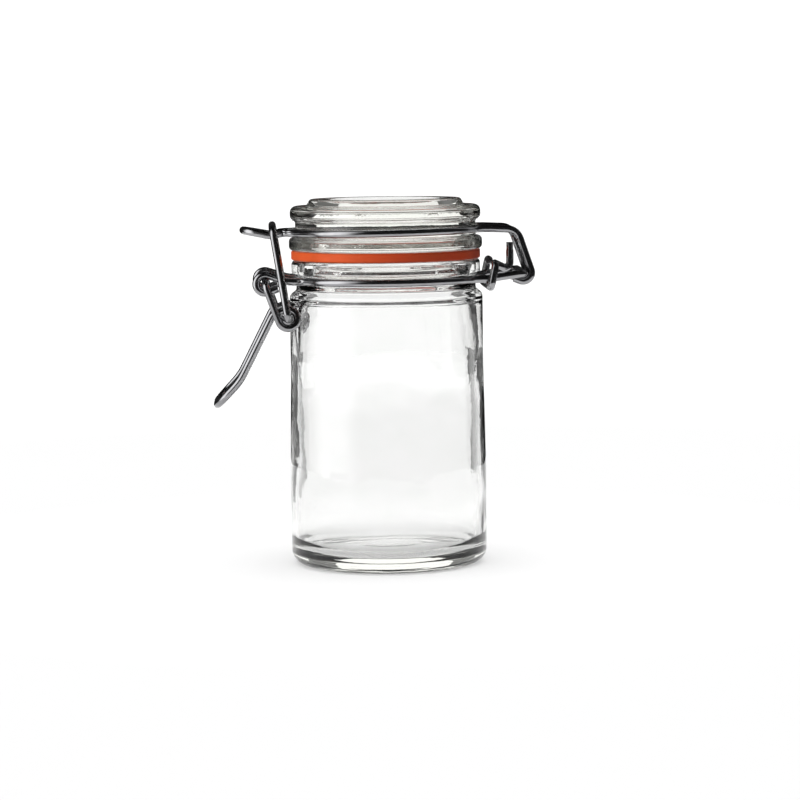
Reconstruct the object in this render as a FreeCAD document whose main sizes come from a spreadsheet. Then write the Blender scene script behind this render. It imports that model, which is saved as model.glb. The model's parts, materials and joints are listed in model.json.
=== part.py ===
"""A small clip-top glass jar: pressed jar and lid, rubber ring, and a wire clasp with its hinge.

Millimetres. +Z is up, the origin is the middle of the standing ring, and the jar's axis is Z.
The hinge is on the +X side and the clasp on the -X side. The wires mirror in the XZ plane.
"""
import FreeCAD, Part
import Sketcher

import math
import os
import re

Vector = FreeCAD.Vector

SIZES = {
    # jar glass, from the standing ring up
    "body_radius": 23.0,
    "foot_proud": 0.55,
    "foot_top": 21.2,
    "foot_step": 2.0,
    "foot_bend": 3.0,
    "heel_round": 2.6,
    "stand_inset": 6.0,
    "push_up": 1.3,
    "floor_edge": 3.2,
    "floor_middle": 4.1,
    "wall": 2.4,
    "floor_round": 4.0,
    "body_top": 66.05,
    "shoulder_slope": 1.3,
    "shoulder_round": 1.7,
    "flare_drop": 11.85,
    "flare_end_drop": 3.45,
    "flare_bend": 14.0,
    "mouth_inset": 5.2,
    "mouth_round": 0.7,
    "groove_depth": 1.5,
    "groove_round": 1.1,
    "bead_inset": 0.4,
    "bead_height": 3.65,
    "bead_round": 1.0,
    # rubber ring
    "ring_gap": 0.12,
    "ring_proud": 0.05,
    "ring_lap": 0.1,
    "ring_thickness": 2.2,
    "ring_round": 0.45,
    # lid glass, from the plug up
    "lid_seat_gap": 0.03,
    "plug_gap": 0.8,
    "plug_depth": 4.6,
    "plug_wall": 4.5,
    "plug_round": 1.0,
    "hollow_depth": 2.4,
    "hollow_round": 1.6,
    "skirt_proud": 0.15,
    "skirt_height": 3.2,
    "skirt_round": 1.1,
    "lid_groove_depth": 1.55,
    "lid_groove_height": 4.0,
    "lid_groove_round": 0.7,
    "crown_inset": 0.35,
    "crown_height": 3.4,
    "crown_round": 1.5,
    "rim_inset": 4.8,
    "rim_slope": 0.9,
    "rim_height": 1.6,
    "rim_round": 0.8,
    "rim_width": 3.9,
    "recess_slope": 1.1,
    "recess_depth": 1.3,
    "recess_round": 0.9,
    # wires
    "wire": 1.8,
    "wire_seat_gap": 0.05,
    "side_gap": 0.35,
    "pin_through": 0.4,
    # neck wire
    "neck_wire_lift": 2.45,
    "arm_bend": 4.0,
    "arm_run": 1.2,
    "arm_slope_bend": 6.0,
    "hinge_out": 9.3,
    "hinge_rise": 1.25,
    "hinge_arm_spread": 10.3,
    "hinge_corner": 1.4,
    "clasp_arm_spread": 10.4,
    "curl_out": 6.0,
    "curl_drop": 0.4,
    "curl_play": 0.3,
    "curl_end": 290.0,
    "curl_tail": 2.5,
    # lid wire
    "lid_wire_lift": 0.55,
    "lid_arm_bend": 3.4,
    "lid_arm_gap": 0.5,
    "lid_arm_set_in": 1.4,
    "hook_play": 0.2,
    "hook_sweep": 130.0,
    "hook_tail": 1.5,
    "tongue_spread": 5.2,
    "tongue_dip": 0.95,
    "tongue_dip_narrow": 0.6,
    "tongue_dip_bend": 5.0,
    "tongue_tip_out": 11.0,
    "tongue_tip_spread": 3.0,
    "tongue_tip_lift": 0.4,
    # link
    "link_out": 4.05,
    "latch_gap": 0.25,
    "link_corner": 2.2,
    "link_foot_bend": 1.4,
    # lever
    "pin_bend": 1.6,
    "eye_gap": 0.47,
    "eye_play": 0.4,
    "eye_drop": 8.25,
    "eye_leave": 202.0,
    "handle_bend": 2.4,
    "handle_lean": 27.1,
    "handle_knee_out": 12.3,
    "handle_knee_drop": 23.05,
    "handle_knee_bend": 14.0,
    "handle_knee_narrow": 0.9,
    "handle_tip_out": 5.5,
    "handle_tip_drop": 5.8,
    "handle_tip_narrow": 1.8,
    "handle_tip_bend": 4.5,
    # tie wire behind the neck
    "tie_out": 1.3,
    "tie_lean": 1.2,
    "tie_gap": 0.25,
    "tie_under_gap": 0.1,
    "tie_over_gap": 1.85,
    "tie_bend": 1.35,
    "stub_set_in": 2.95,
    "stub_gap": 0.2,
    "stub_foot_lift": 1.8,
    "stub_lift": 6.63,
    "tip_step": 0.1,
    "tip_length": 1.83,
}

doc = FreeCAD.newDocument("clip_top_jar")
sheet = doc.addObject("Spreadsheet::Sheet", "Sizes")
for row, (alias, value) in enumerate(SIZES.items(), start=1):
    sheet.set(f"A{row}", alias)
    sheet.set(f"B{row}", str(value))
    sheet.setAlias(f"B{row}", alias)
doc.recompute()


def on_sheet(text):
    """A sum of named sizes, written as an expression that reads the sheet."""
    return re.sub(r"[a-z][a-z_]*", lambda name: "Sizes." + name.group(), text)


def size(text):
    """The value of a sum of named sizes."""
    return float(sheet.evalExpression(on_sheet(text)))


def bind(thing, field, text):
    """Ties a property or a sketch's constraint to a sum of named sizes."""
    thing.setExpression(field, on_sheet(text))


# heights, each stacked on the one below it
NECK_WIRE = "body_top + neck_wire_lift"
BEAD_LOW = NECK_WIRE + " + wire / 2 + wire_seat_gap"
JAR_TOP = BEAD_LOW + " + bead_height"
RING_LOW = JAR_TOP + " + ring_gap"
RING_HIGH = RING_LOW + " + ring_thickness"
LID_SEAT = RING_HIGH + " + lid_seat_gap"
SKIRT_TOP = LID_SEAT + " + skirt_height"
LID_WIRE = SKIRT_TOP + " + wire / 2 + lid_wire_lift"
CROWN_LOW = SKIRT_TOP + " + lid_groove_height"
CROWN_TOP = CROWN_LOW + " + crown_height"
RIM_TOP = CROWN_TOP + " + rim_height"
PLUG_LOW = LID_SEAT + " - plug_depth"
HINGE = NECK_WIRE + " + hinge_rise"
CURL = NECK_WIRE + " - curl_drop"

# distances from the jar's axis
MOUTH_RADIUS = "body_radius - mouth_inset"
GROOVE_RADIUS = "body_radius - groove_depth"
BEAD_RADIUS = "body_radius - bead_inset"
PLUG_RADIUS = MOUTH_RADIUS + " - plug_gap"
SKIRT_RADIUS = "body_radius + skirt_proud"
LID_GROOVE_RADIUS = SKIRT_RADIUS + " - lid_groove_depth"
HINGE_REACH = "body_radius + hinge_out"

# distances of the wires' sides from the mirror plane
LEVER_SPREAD = "clasp_arm_spread + wire + side_gap"
LINK_SPREAD = LEVER_SPREAD + " + wire + side_gap"
PIN_END = "clasp_arm_spread - wire / 2 - pin_through"
LID_ARM_SPREAD = "hinge_arm_spread - wire - lid_arm_gap"
STUB_SPREAD = LID_ARM_SPREAD + " - wire - stub_gap"


# ---------------------------------------------------------------- turned pieces


def origin_plane(body, role):
    return next(plane for plane in body.Origin.OriginFeatures if plane.Role == role)


def turned(label, corners):
    """A body revolved round Z from a closed outline, each corner given as radius and height."""
    body = doc.addObject("PartDesign::Body", label)
    outline = body.newObject("Sketcher::SketchObject", label + "_outline")
    outline.AttachmentSupport = (origin_plane(body, "XZ_Plane"), [""])
    outline.MapMode = "FlatFace"
    points = [Vector(size(radius), size(height), 0) for radius, height in corners]
    for here, there in zip(points, points[1:] + points[:1]):
        outline.addGeometry(Part.LineSegment(here, there), False)
    for side, (radius, height) in enumerate(corners):
        before = (side - 1) % len(corners)
        outline.addConstraint(Sketcher.Constraint("Coincident", before, 2, side, 1))
        for kind, text, axis in (("DistanceX", radius, -2), ("DistanceY", height, -1)):
            if text == "0":
                outline.addConstraint(Sketcher.Constraint("PointOnObject", side, 1, axis))
            else:
                place = outline.addConstraint(Sketcher.Constraint(kind, -1, 1, side, 1, size(text)))
                bind(outline, f"Constraints[{place}]", text)
    turn = body.newObject("PartDesign::Revolution", label + "_turned")
    turn.Profile = outline
    turn.ReferenceAxis = (outline, ["V_Axis"])
    turn.Angle = 360
    doc.recompute()
    return body


SAME_PLACE = 1e-4


def round_edges(body, radius, corners):
    """Rounds the circular edges that run through these corners of the outline."""
    base = body.Tip
    names = []
    for across, up in corners:
        for number, edge in enumerate(base.Shape.Edges, start=1):
            if not isinstance(edge.Curve, Part.Circle):
                continue
            if abs(edge.Curve.Radius - size(across)) + abs(edge.Curve.Center.z - size(up)) < SAME_PLACE:
                names.append(f"Edge{number}")
    if len(names) != len(corners):
        raise ValueError(f"{body.Label}: {len(names)} edges found for {corners}")
    fillet = body.newObject("PartDesign::Fillet", f"{body.Name}_{radius}")
    fillet.Base = (base, names)
    bind(fillet, "Radius", radius)
    doc.recompute()


def jar_glass():
    inside = "body_radius - wall"
    foot = "body_radius + foot_proud"
    foot_end = "foot_top + foot_step"
    shoulder = "body_top - shoulder_slope"
    flare_low = "body_top - flare_drop"
    flare_high = "body_top - flare_end_drop"
    body = turned("jar_glass", [
        ("0", "push_up"),
        (foot + " - stand_inset", "0"),
        (foot, "0"),
        (foot, "foot_top"),
        ("body_radius", foot_end),
        ("body_radius", shoulder),
        (GROOVE_RADIUS, "body_top"),
        (GROOVE_RADIUS, BEAD_LOW),
        (BEAD_RADIUS, BEAD_LOW),
        (BEAD_RADIUS, JAR_TOP),
        (MOUTH_RADIUS, JAR_TOP),
        (MOUTH_RADIUS, flare_high),
        (inside, flare_low),
        (inside, "floor_edge"),
        ("0", "floor_middle"),
    ])
    round_edges(body, "heel_round", [(foot, "0")])
    round_edges(body, "foot_bend", [(foot, "foot_top"), ("body_radius", foot_end)])
    round_edges(body, "shoulder_round", [("body_radius", shoulder)])
    round_edges(body, "groove_round", [(GROOVE_RADIUS, "body_top")])
    round_edges(body, "bead_round", [(BEAD_RADIUS, BEAD_LOW), (BEAD_RADIUS, JAR_TOP)])
    round_edges(body, "mouth_round", [(MOUTH_RADIUS, JAR_TOP)])
    round_edges(body, "flare_bend", [(MOUTH_RADIUS, flare_high), (inside, flare_low)])
    round_edges(body, "floor_round", [(inside, "floor_edge")])
    return body


def gasket():
    bore = MOUTH_RADIUS + " - ring_lap"
    edge = BEAD_RADIUS + " + ring_proud"
    corners = [(bore, RING_LOW), (edge, RING_LOW), (edge, RING_HIGH), (bore, RING_HIGH)]
    body = turned("gasket", corners)
    round_edges(body, "ring_round", corners)
    return body


def lid_glass():
    hollow = PLUG_RADIUS + " - plug_wall"
    hollow_top = PLUG_LOW + " + hollow_depth"
    crown = SKIRT_RADIUS + " - crown_inset"
    rim = crown + " - rim_inset"
    recess = rim + " - rim_width"
    recess_edge = recess + " - recess_slope"
    recess_low = RIM_TOP + " - recess_depth"
    body = turned("lid_glass", [
        ("0", hollow_top),
        (hollow, hollow_top),
        (hollow, PLUG_LOW),
        (PLUG_RADIUS, PLUG_LOW),
        (PLUG_RADIUS, LID_SEAT),
        (SKIRT_RADIUS, LID_SEAT),
        (SKIRT_RADIUS, SKIRT_TOP),
        (LID_GROOVE_RADIUS, SKIRT_TOP),
        (LID_GROOVE_RADIUS, CROWN_LOW),
        (crown, CROWN_LOW),
        (crown, CROWN_TOP),
        (rim + " + rim_slope", CROWN_TOP),
        (rim, RIM_TOP),
        (recess, RIM_TOP),
        (recess_edge, recess_low),
        ("0", recess_low),
    ])
    round_edges(body, "skirt_round", [(SKIRT_RADIUS, LID_SEAT), (SKIRT_RADIUS, SKIRT_TOP)])
    round_edges(body, "lid_groove_round", [(LID_GROOVE_RADIUS, SKIRT_TOP), (LID_GROOVE_RADIUS, CROWN_LOW)])
    round_edges(body, "crown_round", [(crown, CROWN_LOW), (crown, CROWN_TOP)])
    round_edges(body, "plug_round", [(PLUG_RADIUS, PLUG_LOW), (hollow, PLUG_LOW)])
    round_edges(body, "hollow_round", [(hollow, hollow_top)])
    round_edges(body, "rim_round", [(rim, RIM_TOP), (recess, RIM_TOP)])
    round_edges(body, "recess_round", [(recess_edge, recess_low)])
    return body


# ---------------------------------------------------------------- bent wires

NO_RUN = 1e-5
RING_ARCS = 3
TURN_ARCS = 6
VOLUME_SLACK = 0.01


def bent_route(corners):
    """A wire's centreline: straight runs between corners, each (point, radius), joined by tangent arcs.

    A radius of None takes the largest arc that half of the shorter run beside the corner allows.
    """
    points = [Vector(*point) for point, radius in corners]
    edges = []
    at = points[0]
    for before, here, after, (_, radius) in zip(points, points[1:], points[2:], corners[1:-1]):
        back = before - here
        ahead = after - here
        half_turn = (math.pi - back.getAngle(ahead)) / 2
        if radius is None:
            radius = min(back.Length, ahead.Length) / 2 / math.tan(half_turn)
        reach = radius * math.tan(half_turn)
        back.normalize()
        ahead.normalize()
        start = here + back * reach
        end = here + ahead * reach
        middle = here + (back + ahead).normalize() * (radius / math.cos(half_turn) - radius)
        if (start - at).Length > NO_RUN:
            edges.append(Part.LineSegment(at, start).toShape())
        else:
            start = at
        edges.append(Part.Arc(start, middle, end).toShape())
        at = end
    edges.append(Part.LineSegment(at, points[-1]).toShape())
    return Part.Wire(edges)


def drawn_wire(label, corners):
    """A round wire swept along its bent route, as a solid."""
    route = doc.addObject("Part::Feature", label + "_route")
    route.Shape = bent_route(corners)
    edges = route.Shape.OrderedEdges
    section = doc.addObject("Part::Circle", label + "_section")
    bind(section, "Radius", "wire / 2")
    start = edges[0].FirstParameter
    section.Placement.Base = edges[0].valueAt(start)
    section.Placement.Rotation = FreeCAD.Rotation(Vector(0, 0, 1), edges[0].tangentAt(start))
    swept = doc.addObject("Part::Sweep", label)
    swept.Sections = [section]
    swept.Spine = (route, [f"Edge{number}" for number in range(1, len(edges) + 1)])
    swept.Solid = True
    swept.Frenet = False
    doc.recompute()
    expected = math.pi * size("wire") ** 2 / 4 * route.Shape.Length
    if abs(swept.Shape.Volume / expected - 1) > VOLUME_SLACK:
        raise ValueError(f"{label}: swept volume {swept.Shape.Volume:.2f}, expected {expected:.2f}")
    return swept


def mirrored(corners):
    """The route's corners on the -Y side, then the same ones on the +Y side in the opposite order."""
    return corners + [((x, -y, z), radius) for (x, y, z), radius in reversed(corners)]


def arc_corners(middle, radius, start, sweep, side):
    """Corners whose full arcs make one turn in an upright plane. side gives y at each share of the sweep."""
    reach = radius / math.cos(math.radians(sweep / TURN_ARCS / 2))
    corners = []
    for number in range(TURN_ARCS):
        share = (number + 0.5) / TURN_ARCS
        angle = math.radians(start + sweep * share)
        place = (middle[0] + reach * math.cos(angle), side(share), middle[1] + reach * math.sin(angle))
        corners.append((place, None))
    return corners


def circle_end(middle, radius, angle, way, tail, side):
    """The end of a straight tail that leaves a circle at an angle, turning its way: 1 or -1."""
    angle = math.radians(angle)
    return (
        middle[0] + radius * math.cos(angle) - way * tail * math.sin(angle),
        side,
        middle[1] + radius * math.sin(angle) + way * tail * math.cos(angle),
    )


def touch_angles(point, middle, radius):
    """Where lines from a point in the XZ plane touch a circle: the mean angle and the half angle, in degrees."""
    across = point[0] - middle[0]
    up = point[1] - middle[1]
    return math.degrees(math.atan2(up, across)), math.degrees(math.acos(radius / math.hypot(across, up)))


def ring_run(ring, height, left_arm, right_arm, bend):
    """The near half of a wire ring, between two arms that leave it along X at y = -arm.

    Each arm turns onto the ring with a reverse bend. Returns the corners from the -X arm to the +X arm,
    and how far out along X each bend ends.
    """
    touch = []
    reaches = []
    ends = []
    for arm, way in ((left_arm, -1), (right_arm, 1)):
        across = way * math.sqrt((ring + bend) ** 2 - (arm + bend) ** 2)
        spot = Vector(across, -arm - bend, 0).normalize() * ring
        touch.append(math.atan2(spot.y, spot.x))
        reaches.append(across)
        # the ring's tangent through the touching spot meets the arm's line here
        corner_x = (ring * ring + arm * spot.y) / spot.x
        ends.append(((corner_x, -arm, height), bend))
    step = (touch[1] - touch[0]) / RING_ARCS
    middle = []
    for number in range(RING_ARCS):
        angle = touch[0] + step * (number + 0.5)
        reach = ring / math.cos(step / 2)
        middle.append(((reach * math.cos(angle), reach * math.sin(angle), height), ring))
    return [ends[0]] + middle + [ends[1]], reaches


def neck_wire():
    """Round the neck: a curl at each front end for the lever's pin, and the hinge bar at the back."""
    height = size(NECK_WIRE)
    clasp_arm = size("clasp_arm_spread")
    hinge_arm = size("hinge_arm_spread")
    run = size("arm_run")
    slope_bend = size("arm_slope_bend")
    ring, (left, right) = ring_run(
        size(GROOVE_RADIUS + " + wire / 2 + wire_seat_gap"),
        height,
        clasp_arm,
        hinge_arm,
        size("arm_bend"),
    )
    left -= run
    right += run
    # the arm's rising run touches the curl's circle on its top
    curl = pin_place()
    turn = size("wire + curl_play")
    toward, half = touch_angles((left, height), curl, turn)
    start = toward + half
    end = size("curl_end")
    rim = arc_corners(curl, turn, start, end - start, lambda share: -clasp_arm)
    tail = circle_end(curl, turn, end, 1, size("curl_tail"), -clasp_arm)
    return drawn_wire("neck_wire", mirrored([
        (tail, 0),
        *rim[::-1],
        ((left, -clasp_arm, height), slope_bend),
        *ring,
        ((right, -hinge_arm, height), slope_bend),
        ((size(HINGE_REACH), -hinge_arm, size(HINGE)), size("hinge_corner")),
    ]))


def tongue_corner():
    """Where the tongue dips under the link's bar: its distance from the axis and its height."""
    return -size("body_radius + link_out"), size(LID_WIRE + " - tongue_dip")


def lid_wire():
    """Round the lid's groove: a hook on the hinge bar at each back end, and the tongue at the front."""
    height = size(LID_WIRE)
    arm = size(LID_ARM_SPREAD)
    bend = size("lid_arm_bend")
    tongue = size("tongue_spread")
    hinge = (size(HINGE_REACH), size(HINGE))
    turn = size("wire + hook_play")
    sweep = size("hook_sweep")
    knee_x = size(HINGE_REACH + " - lid_arm_set_in")
    # the arm's outer run touches the hook's circle on its right
    toward, half = touch_angles((knee_x, height), hinge, turn)
    start = toward - half
    hook = arc_corners(hinge, turn, start, -sweep, lambda share: -arm)
    tail = circle_end(hinge, turn, start - sweep, -1, size("hook_tail"), -arm)
    ring, _ = ring_run(size(LID_GROOVE_RADIUS + " + wire / 2 + wire_seat_gap"), height, tongue, arm, bend)
    dip_x, dip_z = tongue_corner()
    tip_x = -size("body_radius + tongue_tip_out")
    near = [
        ((tip_x, -size("tongue_tip_spread"), size(LID_WIRE + " + tongue_tip_lift")), None),
        ((dip_x, -size("tongue_spread - tongue_dip_narrow"), dip_z), size("tongue_dip_bend")),
        *ring,
        ((knee_x, -arm, height), bend),
        *hook,
        (tail, 0),
    ]
    return drawn_wire("lid_wire", mirrored(near[::-1]))


def pin_place():
    """The middle of the curl, which holds the lever's pin."""
    return -size("body_radius + curl_out"), size(CURL)


def eye_place():
    """The middle of the lever's eye, which holds the link's foot and stands clear of the round glass."""
    clear = size("body_radius + eye_gap + wire / 2")
    side = size("clasp_arm_spread + " + LEVER_SPREAD) / 2
    return -math.sqrt(clear ** 2 - side ** 2) - size("wire + eye_play"), size(CURL + " - eye_drop")


def link_wire():
    """Over the tongue: a bar, two straight legs, and feet that turn in through the lever's eyes."""
    spread = size(LINK_SPREAD)
    eye_x, eye_z = eye_place()
    bar_x, tongue_z = tongue_corner()
    bar_z = tongue_z + size("wire + latch_gap")
    return drawn_wire("link", mirrored([
        ((eye_x, -size(PIN_END), eye_z), 0),
        ((eye_x, -spread, eye_z), size("link_foot_bend")),
        ((bar_x, -spread, bar_z), size("link_corner")),
    ]))


def lever_wire():
    """Pins in the neck wire's curls, a leg down to each eye, one turn, and out as the handle."""
    outer = size(LEVER_SPREAD)
    inner = size("clasp_arm_spread")
    turn = size("wire + eye_play")
    pin = pin_place()
    eye = eye_place()
    # the leg touches the eye's circle on its left, and the turn runs under it and back over the top
    toward, half = touch_angles(pin, eye, turn)
    start = toward + half
    leave = size("eye_leave")
    sweep = (leave - 90 - start) % 360
    turns = arc_corners(eye, turn, start, sweep, lambda share: -outer + (outer - inner) * share)
    knee = Vector(-size("body_radius + handle_knee_out"), 0, size(CURL + " - handle_knee_drop"))
    lean = math.radians(size("handle_lean"))
    up = Vector(math.sin(lean), 0, math.cos(lean))
    out = Vector(math.cos(math.radians(leave)), 0, math.sin(math.radians(leave)))
    leaving = Vector(eye[0] + out.z * turn, 0, eye[1] - out.x * turn)
    # the run that leaves the eye meets the handle's line here
    gap = knee - leaving
    corner = leaving + out * ((gap.x * up.z - gap.z * up.x) / (out.x * up.z - out.z * up.x))
    knee_side = -size("clasp_arm_spread - handle_knee_narrow")
    tip = (
        knee.x - size("handle_tip_out"),
        -size("clasp_arm_spread - handle_tip_narrow"),
        knee.z - size("handle_tip_drop"),
    )
    return drawn_wire("lever", mirrored([
        ((pin[0], -size(PIN_END), pin[1]), 0),
        ((pin[0], -outer, pin[1]), size("pin_bend")),
        *turns,
        ((corner.x, -inner, corner.z), size("handle_bend")),
        ((knee.x, knee_side, knee.z), size("handle_knee_bend")),
        (tip, size("handle_tip_bend")),
    ]))


def tie_wire():
    """Lashes the two hinge arms behind the neck: a loop round each, and one end turned up as a stub."""
    arm = size("hinge_arm_spread")
    clear = size("wire + tie_gap")
    low_x = size("body_radius + tie_out")
    high_x = size("body_radius + tie_out + tie_lean")
    low = size(NECK_WIRE + " - wire - tie_under_gap")
    high = size(NECK_WIRE + " + wire + tie_over_gap")
    bend = size("tie_bend")
    stub_x = size(HINGE_REACH + " - stub_set_in")
    stub_y = -size(STUB_SPREAD)
    step = NECK_WIRE + " + stub_lift"
    loop = [
        ((high_x, -arm + clear, high), bend),
        ((high_x, -arm - clear, high), bend),
        ((low_x, -arm - clear, low), bend),
    ]
    far = [((x, -y, z), radius) for (x, y, z), radius in reversed(loop[1:])]
    bent = drawn_wire("tie_bent", [
        ((stub_x, stub_y, size(step)), 0),
        ((stub_x, stub_y, size(NECK_WIRE + " + stub_foot_lift")), bend),
        *loop,
        *far,
        ((high_x, arm - clear, high), 0),
    ])
    tip = doc.addObject("Part::Cylinder", "tie_tip")
    bind(tip, "Radius", "wire / 2 - tip_step")
    bind(tip, "Height", "tip_length + wire")
    tip.Placement.Base = Vector(stub_x, stub_y, size(step + " - wire"))
    whole = doc.addObject("Part::Fuse", "tie")
    whole.Base = bent
    whole.Tool = tip
    doc.recompute()
    return whole


PIECES = [jar_glass, gasket, lid_glass, neck_wire, lid_wire, tie_wire, lever_wire, link_wire]


def main():
    made = [make() for make in PIECES]
    for thing in doc.Objects:
        if {"Invalid", "Error"} & set(thing.State):
            raise ValueError(f"{thing.Label} did not build: {thing.State}")
    os.makedirs("parts", exist_ok=True)
    for piece in made:
        shape = piece.Shape
        if shape.isNull() or not shape.isValid() or len(shape.Solids) != 1:
            raise ValueError(f"{piece.Label} is not one valid solid")
        shape.exportStep(f"parts/{piece.Label}.step")
        print(f"{piece.Label:10s} {shape.Volume:9.1f} mm3, box {shape.BoundBox}")


main()
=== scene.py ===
import json
import math

import bpy
from bpy.props import FloatProperty, FloatVectorProperty, IntProperty, PointerProperty
from mathutils import Matrix, Vector


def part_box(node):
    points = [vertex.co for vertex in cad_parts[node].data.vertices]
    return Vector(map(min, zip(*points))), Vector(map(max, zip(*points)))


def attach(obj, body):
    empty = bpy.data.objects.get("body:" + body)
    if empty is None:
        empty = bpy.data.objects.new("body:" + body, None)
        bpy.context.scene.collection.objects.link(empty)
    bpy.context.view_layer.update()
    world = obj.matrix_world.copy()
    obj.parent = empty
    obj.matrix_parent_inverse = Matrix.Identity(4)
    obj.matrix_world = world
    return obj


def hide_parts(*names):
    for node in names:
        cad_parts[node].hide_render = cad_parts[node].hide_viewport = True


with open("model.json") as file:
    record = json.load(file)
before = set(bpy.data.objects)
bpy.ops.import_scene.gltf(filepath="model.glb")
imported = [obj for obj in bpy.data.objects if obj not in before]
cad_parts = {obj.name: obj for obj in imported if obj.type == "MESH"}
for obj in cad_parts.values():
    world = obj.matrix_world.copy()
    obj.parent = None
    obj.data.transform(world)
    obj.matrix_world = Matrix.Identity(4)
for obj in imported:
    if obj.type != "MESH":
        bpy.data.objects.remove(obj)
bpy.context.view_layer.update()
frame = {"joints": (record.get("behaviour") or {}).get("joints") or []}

bl_info = {
    "name": "Clip-top jar",
    "version": (1, 0, 0),
    "blender": (4, 5, 0),
    "location": "3D View > Sidebar > Jar",
    "description": "Small glass jar with a hinged glass lid, a rubber seal and a wire clasp",
    "category": "Object",
}

MM = 0.001
JOINTS = {joint["name"]: Vector(joint["pos_m"]) / MM for joint in frame["joints"]}
HINGE = JOINTS["lid_hinge"]
PIN = JOINTS["lever_pivot"]
EYE = JOINTS["link_pivot"]


def box_mm(node):
    """A CAD node's lowest and highest corners, in millimetres."""
    low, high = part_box(node)
    return low / MM, high / MM


SEAL_LOW, SEAL_HIGH = box_mm("gasket")
LINK_LOW, LINK_HIGH = box_mm("link")
TIE_TOP = box_mm("tie")[1].z


# ------------------------------------------------------------------ settings


class JarSizes(bpy.types.PropertyGroup):
    """Sizes that a user may change without moving a piece off its CAD place."""

    wire_radius: FloatProperty(
        name="Wire radius",
        description="Half the thickness of the bent wires",
        default=0.9 * MM,
        min=0.2 * MM,
        unit="LENGTH",
        precision=5,
    )
    wire_sides: IntProperty(name="Wire sides", description="Faces round a wire", default=28, min=8, max=64)
    segments: IntProperty(name="Segments", description="Faces round the glass", default=224, min=32, max=320)
    wave: FloatProperty(
        name="Inner wave",
        description="How far the blown inner wall wanders in and out",
        default=0.42 * MM,
        min=0.0,
        unit="LENGTH",
        precision=5,
    )
    wave_scale: FloatProperty(
        name="Wave scale",
        description="Waves of the inner wall per metre of height",
        default=55.0,
        min=1.0,
    )
    wave_seed: IntProperty(name="Wave seed", description="Which random wave the inner wall has", default=7)
    floor_size: FloatProperty(
        name="Floor size",
        description="Side of the square floor",
        default=6.0,
        min=1.0,
        unit="LENGTH",
    )


class JarFinishes(bpy.types.PropertyGroup):
    """Colours of the glass, the rubber and the wire."""

    glass: FloatVectorProperty(
        name="Glass",
        description="Tint that light takes on where the glass is thick",
        subtype="COLOR",
        size=3,
        min=0.0,
        max=1.0,
        default=(0.89, 0.90, 0.78),
    )
    rubber: FloatVectorProperty(
        name="Rubber",
        description="Colour of the seal",
        subtype="COLOR",
        size=3,
        min=0.0,
        max=1.0,
        default=(0.45, 0.060, 0.010),
    )
    steel: FloatVectorProperty(
        name="Steel",
        description="Colour of the drawn wire",
        subtype="COLOR",
        size=3,
        min=0.0,
        max=1.0,
        default=(0.34, 0.34, 0.35),
    )


# ------------------------------------------------------------------ node trees


class Socket:
    """An output socket. Arithmetic on it adds Math nodes to its tree."""

    def __init__(self, nodes, socket):
        self.nodes = nodes
        self.socket = socket

    def math(self, operation, first, second):
        return self.nodes.add("ShaderNodeMath", {"operation": operation}, {0: first, 1: second})

    def __add__(self, other):
        return self.math("ADD", self, other)

    def __radd__(self, other):
        return self.math("ADD", other, self)

    def __sub__(self, other):
        return self.math("SUBTRACT", self, other)

    def __rsub__(self, other):
        return self.math("SUBTRACT", other, self)

    def __mul__(self, other):
        return self.math("MULTIPLY", self, other)

    def __rmul__(self, other):
        return self.math("MULTIPLY", other, self)

    def __truediv__(self, other):
        return self.math("DIVIDE", self, other)


class Nodes:
    """A node tree under construction."""

    def __init__(self, tree):
        self.tree = tree
        tree.nodes.clear()

    def add(self, kind, settings=None, sockets=None, output=0):
        """Adds a node: its settings first, then its sockets' values or links. Gives one of its outputs."""
        node = self.tree.nodes.new(kind)
        for name, value in (settings or {}).items():
            if name == "stops":
                ramp = node.color_ramp.elements
                while len(ramp) < len(value):
                    ramp.new(1.0)
                for stop, (place, colour) in zip(ramp, value):
                    stop.position = place
                    stop.color = (*colour, 1.0)
            else:
                setattr(node, name, value)
        for name, value in (sockets or {}).items():
            if isinstance(value, Socket):
                self.tree.links.new(value.socket, node.inputs[name])
            else:
                node.inputs[name].default_value = value
        return Socket(self, node.outputs[output]) if len(node.outputs) else node

    def parts(self, vector):
        """The X, Y and Z of a vector."""
        split = self.add("ShaderNodeSeparateXYZ", sockets={0: vector})
        node = split.socket.node
        return [Socket(self, node.outputs[axis]) for axis in range(3)]

    def vector(self, x, y, z):
        return self.add("ShaderNodeCombineXYZ", sockets={0: x, 1: y, 2: z})

    def call(self, operation, value):
        """A Math node with one input, such as SINE."""
        return self.add("ShaderNodeMath", {"operation": operation}, {0: value})

    def step(self, value, low, high):
        """0 below low and 1 above high, with a smooth rise between. high below low falls instead."""
        return self.add(
            "ShaderNodeMapRange",
            {"interpolation_type": "SMOOTHSTEP", "clamp": True},
            {"Value": value, "From Min": low, "From Max": high, "To Min": 0.0, "To Max": 1.0},
        )

    def blend(self, factor, first, second):
        """Mixes two colours."""
        node = self.tree.nodes.new("ShaderNodeMix")
        node.data_type = "RGBA"
        factor_in, first_in, second_in = node.inputs[0], node.inputs[6], node.inputs[7]
        for socket, value in ((factor_in, factor), (first_in, first), (second_in, second)):
            if isinstance(value, Socket):
                self.tree.links.new(value.socket, socket)
            elif socket is factor_in:
                socket.default_value = value
            else:
                socket.default_value = (*value, 1.0)
        return Socket(self, node.outputs[2])

    def noise(self, vector, scale, detail=2.0, roughness=0.5):
        return self.add(
            "ShaderNodeTexNoise",
            sockets={"Vector": vector, "Scale": scale, "Detail": detail, "Roughness": roughness},
        )

    def bump(self, height, strength, distance):
        return self.add(
            "ShaderNodeBump",
            sockets={"Height": height, "Strength": strength, "Distance": distance},
        )


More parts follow.
